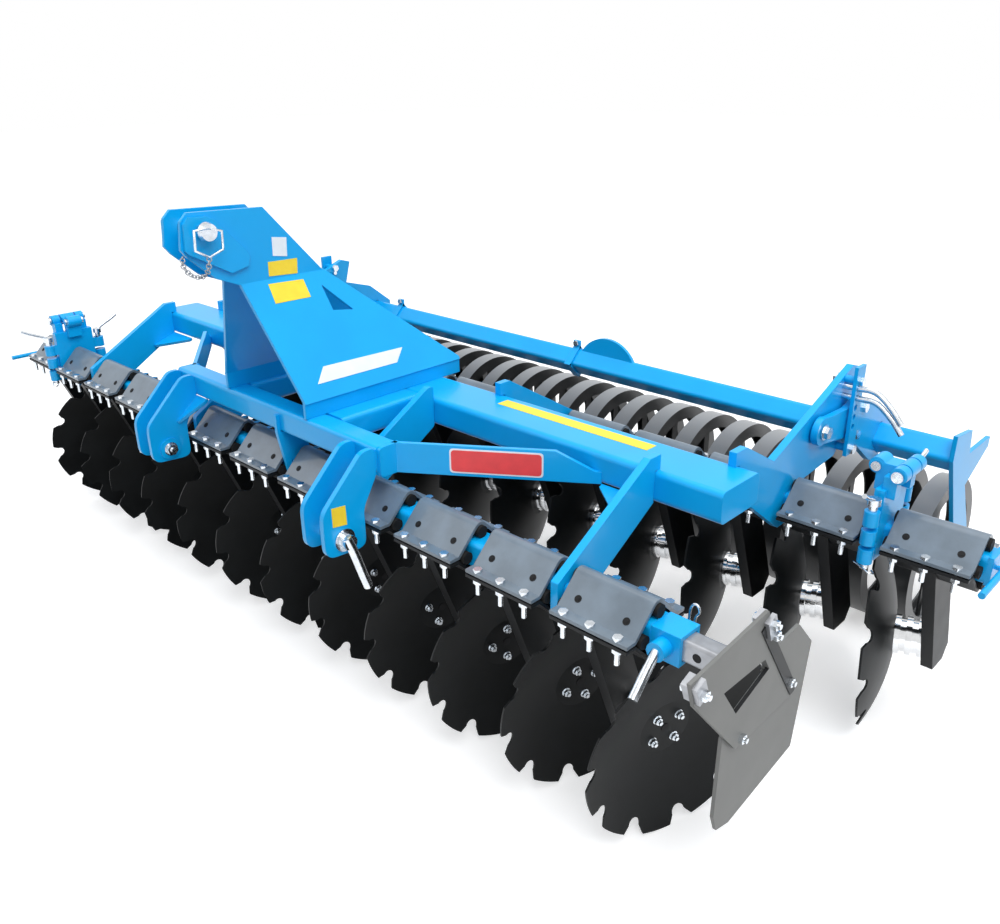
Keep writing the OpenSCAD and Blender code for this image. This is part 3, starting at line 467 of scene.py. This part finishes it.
# Lower pins: hanging handles outside, bosses and bolt heads inside
HANDLES = {-1: ((20, 7, 14), (21, -8, -4), (22, -23, -24), (23, -35, -40)),
           1: ((20, -8, 16), (22, 9, -30), (24, 32, -106), (25, 43, -140))}
s = Shape()
for side in (-1, 1):
    def on_pin(x, dy=0, dz=0):
        return at(side * x, PIN_Y + dy, PIN_Z + dz)

    s.rod(on_pin(HITCH_OUT), on_pin(HITCH_OUT + 4), 30, 24)
    s.rod(on_pin(HITCH_OUT + 10), on_pin(HITCH_OUT + 27), 19, 20)
    s.wire(curve([on_pin(HITCH_OUT + x, dy, dz) for x, dy, dz in HANDLES[side]], 4), 12.5, 14)
    s.rod(on_pin(HITCH_IN), on_pin(HITCH_IN - 6), 33, 28, None, 1)
    s.rod(on_pin(HITCH_IN - 6), on_pin(HITCH_IN - 9), 21, 24)
    s.hexa(on_pin(HITCH_IN - 9), X * -side, HEX_M20, 12)
    s.rod(on_pin(HITCH_IN - 21), on_pin(HITCH_IN - 27), 8, 12)
s.piece("lower_pin_fittings", "frame", [ZINC, BLUE], "zinc")

# Housings: boss, locking handle and spring clip
HOUSING_X = 1328
s = Shape()
for _, side in DEFLECTORS:
    def on_housing(x, dy, dz=0):
        return at(side * (HOUSING_X + x), -side * ROW_Y + dy, BEAM_Z + dz)

    s.rod(on_housing(0, -33), on_housing(0, -64), 21, 24, None, 1)
    s.wire(curve([on_housing(0, -60), on_housing(2, -76, -8), on_housing(4, -105, -33),
                  on_housing(7, -142, -64)], 4), 10.5, 14)
    s.rod(on_housing(0, 33), on_housing(0, 62), 10, 14)
    clip = [(0, -15), (0, 37), (6, 57), (17, 59), (22, 45), (14, 31), (12, 7)]
    s.wire(curve([on_housing(x, 54, dz) for x, dz in clip], 3), 3, 8)
s.piece("housing_fittings", "frame", [ZINC, BLUE], "zinc")

# Deflector brackets: hook blocks, bolts, a dark strip of painted shadow along the bracket's rear edge, and the
# holes of the sliding tube as black discs of painted shade
PLATE_OUT, PLATE_IN, HOOK_OUT, HOOK_IN = 1485.5, 1469.5, 1495.5, 1462.5
TILT_Y, TILT_Z = Vector((0, 0.93, 0.37)), Vector((0, -0.37, 0.93))
for row, side in DEFLECTORS:
    def by_slide(x, dy, dz):
        return at(side * x, -side * ROW_Y + dy, BEAM_Z + dz)

    s = Shape()
    e = X * side
    for outer, inner, rise in (((-165, 49), (-165, 49), 22), ((82, 62), (78, 66), 24)):
        s.block(by_slide(HOOK_OUT - 5, *outer), X * 5, TILT_Y * 15, TILT_Z * rise, 2)
        s.block(by_slide(HOOK_IN + 7.5, *inner), X * 7.5, TILT_Y * 15, TILT_Z * rise, 2)
    hook_bolts = [(HOOK_OUT, HOOK_IN, dy, dz) for dy, dz in ((-163, 44), (80, 70), (90, 42))]
    plate_bolts = [(PLATE_OUT, PLATE_IN, dy, dz) for dy, dz in ((17, -166), (208, -137))]
    for outer, inner, dy, dz in hook_bolts + plate_bolts:
        s.bolt(by_slide(outer, dy, dz), e, HEX_M12, 9)
        s.rod(by_slide(outer + 9, dy, dz), by_slide(outer + 15, dy, dz), 6, 10)
        s.bolt(by_slide(inner, dy, dz), -e, HEX_M12, 9)
    # A thin black strip on the bracket: painted shadow along its rear edge
    painted_shadow_strip = [(51, 63), (217, -175), (233, -172), (239, -161), (73, 77)]
    s.plate([by_slide(PLATE_OUT, dy, dz) for dy, dz in painted_shadow_strip], e, 2.5, 3)
    # Black discs for the sliding tube's holes: painted shade
    for x in (1398, 1438):
        for way in (-1, 1):
            s.rod(by_slide(x, way * 24.5, 0), by_slide(x, way * 25.03, 0), 10, 16, None, 1)
    finishes = [ZINC, SHADE_BLACK, SLIDE, M["arm_paint"]]
    s.piece(f"deflector_{row}_fittings", f"deflector_slide_{row}", finishes, "zinc")

# Roller arms: pivot heads, depth pins, bolts on the hole plates and on the arms
HOLES_Y, DEPTH_PIN_Y = 611, 603
pins, arm_bolts = Shape(), Shape()
for inner, side in ((FIRST_X, 1), (PITCH / 2 - FIRST_X, -1)):
    def on_arm(x, y, z):
        return at(inner + side * x, y, z)

    e = X * side
    for z in (PIVOT_Z - 88, PIVOT_Z + 104):
        pins.bolt(on_arm(50, HOLES_Y, z), e, HEX_M16, 11)
        pins.hexa(on_arm(-10, HOLES_Y, z), -e, HEX_M16, 11)
    pins.rod(on_arm(36, PIVOT_Y, PIVOT_Z), on_arm(39, PIVOT_Y, PIVOT_Z), 21, 20)
    pins.hexa(on_arm(39, PIVOT_Y, PIVOT_Z), e, HEX_M20, 12)
    pins.hexa(on_arm(-20, PIVOT_Y, PIVOT_Z), -e, HEX_M20, 12)
    for z, out in ((PIVOT_Z + 86, 0), (PIVOT_Z + 59, 4)):
        bend = [(-24, 0), (50, 0), (86 + out, 1), (112 + out, -9), (146 + out, -38), (175 + out, -72)]
        pins.wire(curve([on_arm(x, DEPTH_PIN_Y, z + dz) for x, dz in bend], 5), 8, 12)
    for y, z in ((880, 612), (668, 712), (700, 782)):
        arm_bolts.bolt(on_arm(34, y, z), e, HEX_M16, 11)
pins.piece("depth_pins", "frame", [ZINC], "zinc")
arm_bolts.piece("roller_arm_bolts", "roller_frame", [ZINC], "zinc")

# Straps round the roller beam, and bearing bolts on the roller's end plates
STRAP_X, END_X = (84, -912), 1448
quarters = [math.radians(45 + 90 * k) for k in range(4)]
s = Shape()
for x in STRAP_X:
    for t in quarters:
        n, q = Vector((0, math.cos(t), math.sin(t))), Vector((0, -math.sin(t), math.cos(t)))
        s.block(at(x, ROLLER_BEAM_Y, ROLLER_BEAM_Z) + n * (39.2 * MM), X * 14, n * 3.4, q * 42.5)
    s.block(at(x, ROLLER_BEAM_Y, ROLLER_BEAM_Z + 62), X * 14, Y * 5, Z * 16)
    s.hexa(at(x, ROLLER_BEAM_Y - 5, ROLLER_BEAM_Z + 68), -Y, HEX_M12, 8, 1)
for side in (-1, 1):
    s.rod(at(side * END_X, AXLE_Y, AXLE_Z), at(side * (END_X + 6), AXLE_Y, AXLE_Z), 40, 28)
    for t in quarters:
        p = at(side * END_X, AXLE_Y + 52 * math.cos(t), AXLE_Z + 52 * math.sin(t))
        s.bolt(p, X * side, HEX_M12, 9, mi=1)
s.piece("roller_frame_fittings", "roller_frame", [BLUE, ZINC], "frame_paint")

# Lock pins at the folds, before and behind the plates, with the ends of the link's pins
LOCK_REACH, LOCK_EYES_Z, SWING_EYE_Z, EYE_HALF, LINK_Z = 95.2, (579, 677), 628, 18.5, 780
for row, side in FOLDS:
    x, y = side * LOCK_X, side * ROW_Y
    s, swing = Shape(), Shape()
    for way in (-1, 1):
        def on_lock(dx, dy, z):
            return at(x + side * dx, y + way * (LOCK_REACH + dy), z)

        s.rod(on_lock(0, 0, 695.5), on_lock(0, 0, 712), 10.5, 16)
        s.rod(on_lock(0, 0, 712), on_lock(0, 0, 728), 16, 18)
        s.rod(on_lock(0, 0, 560.5), on_lock(0, 0, 546), 10.5, 16)
        handle = [on_lock(0, 0, 722), on_lock(4, 20, 734), on_lock(6, 60, 752), on_lock(8, 86, 766)]
        s.wire(curve(handle, 4), 6, 10)
    clip = [(-24, -95.2, 552), (0, -108, 552), (22, -118, 548), (30, -108, 544), (20, -98, 546)]
    s.wire(curve([at(x + dx, y + dy, z) for dx, dy, z in clip], 3), 2.2, 8)
    for shape, mi, way, heights in ((s, 1, -side, LOCK_EYES_Z), (swing, 0, side, (SWING_EYE_Z,))):
        for z in heights:
            low, high = [at(x, y + LOCK_REACH, z + end * EYE_HALF) for end in (-1, 1)]
            shape.rod(low, high, 18, 24, None, mi)
            shape.block(at(x + way * 6.2, y + 82, z), X * 6, Y * 11.8, Z * EYE_HALF, mi)
    for way in (-1, 1):
        for link_x, near, far, r in ((1476.5, 61, 68, 14), (1412.5, 25, 34, 12)):
            a, b = [at(side * link_x, y + way * reach, LINK_Z) for reach in (near, far)]
            s.rod(a, b, r, 16)
    s.piece(f"fold_{row}_lock_pins", "frame", [ZINC, BLUE], "zinc")
    swing.piece(f"fold_{row}_lock_eye", f"folding_end_{row}", [BLUE], "frame_paint")

# Blank plates on the tower's cheek, the tower's sloping side, the main beam, a hitch plate and a brace
CHEEK_X, LABEL_T = 46, 1.2
DOWN_SLOPE, SLOPE_OUT = Vector((0.4517, 0, -0.8922)), Vector((0.8922, 0, 0.4517))
BRACE_TURN = math.radians(34.2)
ALONG_BRACE = Vector((math.cos(BRACE_TURN), math.sin(BRACE_TURN), 0))
BRACE_OUT = Vector((math.sin(BRACE_TURN), -math.cos(BRACE_TURN), 0))


def on_cheek(y, z):
    return at(CHEEK_X, y, z)


def on_slope(y, d):
    """A point on the near spread side, d below the bend."""
    return at(44.92, y, 1150.7) + DOWN_SLOPE * d / 1000


def on_brace(d, z):
    """A point on the near side brace's outer face."""
    return at(503.7, -363.9, z) + ALONG_BRACE * d / 1000


s = Shape()
cheek_label = [(-376, 1207), (-333, 1200), (-330, 1249), (-374, 1255)]
slope_label = [(-366, 302), (-91, 304), (-55, 266), (-331, 260)]
s.plate([on_cheek(y, z) for y, z in cheek_label], X, LABEL_T)
s.plate([on_slope(y, d) for y, d in slope_label], SLOPE_OUT, LABEL_T)
s.piece("blank_plate_white", "frame", [WHITE])

s = Shape()
cheek_label = [(-394, 1156), (-306, 1151), (-303, 1191), (-393, 1193)]
slope_label = [(-402, 69), (-291, 70), (-295, 19), (-403, 15)]
hitch_label = [(-568, 634), (-526, 628), (-527, 680), (-568, 685)]
s.plate([on_cheek(y, z) for y, z in cheek_label], X, LABEL_T)
s.plate([on_slope(y, d) for y, d in slope_label], SLOPE_OUT, LABEL_T)
s.plate([at(x, y, FRAME_TOP) for x, y in rect(487, 986, 8, 48)], Z, 1)
s.plate([at(HITCH_OUT, y, z) for y, z in hitch_label], X, 1)
s.piece("blank_plate_yellow", "frame", [YELLOW])

s = Shape()
for inset, t, mi in ((0, 1, 1), (4, 1.6, 0)):
    label = soft(rect(128 + inset, 362 - inset, 728 + inset, 793 - inset), 10)
    s.plate([on_brace(d, z) for d, z in label], BRACE_OUT, t, mi)
s.piece("blank_plate_red", "frame", [RED, WHITE])


# Floor and sky: white to the eye and in reflections, softer as light, with the shadow kept
def seen(nt):
    """One for rays that show the background itself: camera, glossy and transmission rays."""
    rays = nt.nodes.new("ShaderNodeLightPath")
    out = rays.outputs["Is Camera Ray"]
    for kind in ("Is Glossy Ray", "Is Transmission Ray"):
        either = nt.nodes.new("ShaderNodeMath")
        either.operation = "MAXIMUM"
        nt.links.new(out, either.inputs[0])
        nt.links.new(rays.outputs[kind], either.inputs[1])
        out = either.outputs[0]
    return out


def floor_paint():
    m = bpy.data.materials.new("floor")
    m.use_nodes = True
    nt = m.node_tree
    shader = nt.nodes["Principled BSDF"]
    shader.inputs["Roughness"].default_value = 0.9
    shader.inputs["Specular IOR Level"].default_value = 0.0
    shader.inputs["Emission Color"].default_value = (1, 1, 1, 1)
    tone = mix_color(nt, seen(nt), (0.45, 0.45, 0.45), (0.72, 0.72, 0.72))
    nt.links.new(tone, shader.inputs["Base Color"])
    glow = nt.nodes.new("ShaderNodeMath")
    glow.operation = "MULTIPLY"
    glow.inputs[1].default_value = 0.5
    nt.links.new(seen(nt), glow.inputs[0])
    nt.links.new(glow.outputs[0], shader.inputs["Emission Strength"])
    return m


def sky():
    world = bpy.data.worlds.new("world")
    world.use_nodes = True
    nt = world.node_tree
    place = nt.nodes.new("ShaderNodeTexCoord")
    parts = nt.nodes.new("ShaderNodeSeparateXYZ")
    ramp = nt.nodes.new("ShaderNodeValToRGB")
    level, overhead = ramp.color_ramp.elements
    level.color = (0.46, 0.47, 0.48, 1)
    overhead.color = (0.92, 0.95, 1.0, 1)
    nt.links.new(place.outputs["Generated"], parts.inputs[0])
    nt.links.new(parts.outputs["Z"], ramp.inputs["Fac"])
    shown = mix_color(nt, seen(nt), ramp.outputs["Color"], (1, 1, 1))
    nt.links.new(shown, nt.nodes["Background"].inputs["Color"])
    return world


bpy.ops.mesh.primitive_plane_add(size=60, location=(0, 0, 0))
floor = bpy.context.object
floor.name = "floor"
floor.data.materials.append(floor_paint())
scene.world = sky()


# Lamps, in metres and watts
def area(name, place, size, power, target=(0, 0, 0.5)):
    lamp = bpy.data.lights.new(name, "AREA")
    lamp.size = size
    lamp.energy = power
    o = bpy.data.objects.new(name, lamp)
    o.location = place
    o.rotation_euler = (Vector(target) - Vector(place)).to_track_quat("-Z", "Y").to_euler()
    scene.collection.objects.link(o)


area("key", (4.0, -2.0, 6.0), 4.0, 270)
area("fill", (-4.5, -4.0, 4.0), 4.0, 50)
area("top", (0.5, 0.5, 6.5), 5.0, 110)

# Camera as fitted to the photograph, which is 1000 pixels wide
YAW, TILT, ROLL = math.radians(44.04), math.radians(23.33), math.radians(0.67)
FOCAL_PX, PHOTO_W, SENSOR = 910.66, 1000, 36
EYE = at(2141, -1696, 1649)
ahead = Vector((-math.sin(YAW) * math.cos(TILT), math.cos(YAW) * math.cos(TILT), -math.sin(TILT)))
right = Vector((math.cos(YAW), math.sin(YAW), 0))
down = ahead.cross(right)
rolled_right = right * math.cos(ROLL) + down * math.sin(ROLL)
rolled_down = down * math.cos(ROLL) - right * math.sin(ROLL)
lens = bpy.data.cameras.new("camera")
lens.sensor_width = SENSOR
lens.lens = SENSOR * FOCAL_PX / PHOTO_W
camera = bpy.data.objects.new("camera", lens)
scene.collection.objects.link(camera)
turned = Matrix((rolled_right, -rolled_down, -ahead)).transposed()
camera.matrix_world = Matrix.Translation(EYE) @ turned.to_4x4()
scene.camera = camera
scene.view_settings.view_transform = "Standard"
